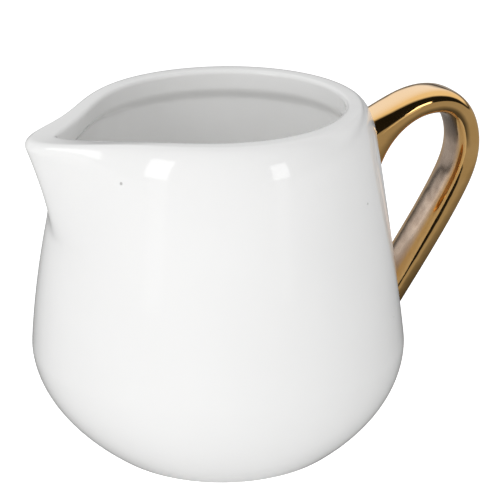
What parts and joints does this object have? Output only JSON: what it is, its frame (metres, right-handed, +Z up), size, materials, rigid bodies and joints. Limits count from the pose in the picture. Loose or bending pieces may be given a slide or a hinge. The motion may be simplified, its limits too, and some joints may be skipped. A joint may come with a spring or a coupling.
{
  "type": "cream jug",
  "caption": "Round-bellied white porcelain cream jug with a pinched pouring lip and a slim gold-lustred loop handle.",
  "frame": {"origin": "centre of the foot ring, on the plane the jug stands on", "axes": "+Z up; the pouring lip points along -X and the handle along +X, so XZ is the plane of symmetry"},
  "size_m": [0.1192, 0.0922, 0.09],
  "materials": {
    "white_porcelain": "clear gloss glaze over white porcelain, unglazed under the foot ring",
    "gold_lustre": "bright gold lustre fired over glazed porcelain, mirror-like",
    "gold_lustre_slip": "bright gold lustre over a smoothed slip joint"
  },
  "bodies": {
    "root": {"body": "white_porcelain", "handle": "gold_lustre", "upper_handle_joint": "gold_lustre_slip", "lower_handle_joint": "gold_lustre_slip"}
  },
  "joints": []
}
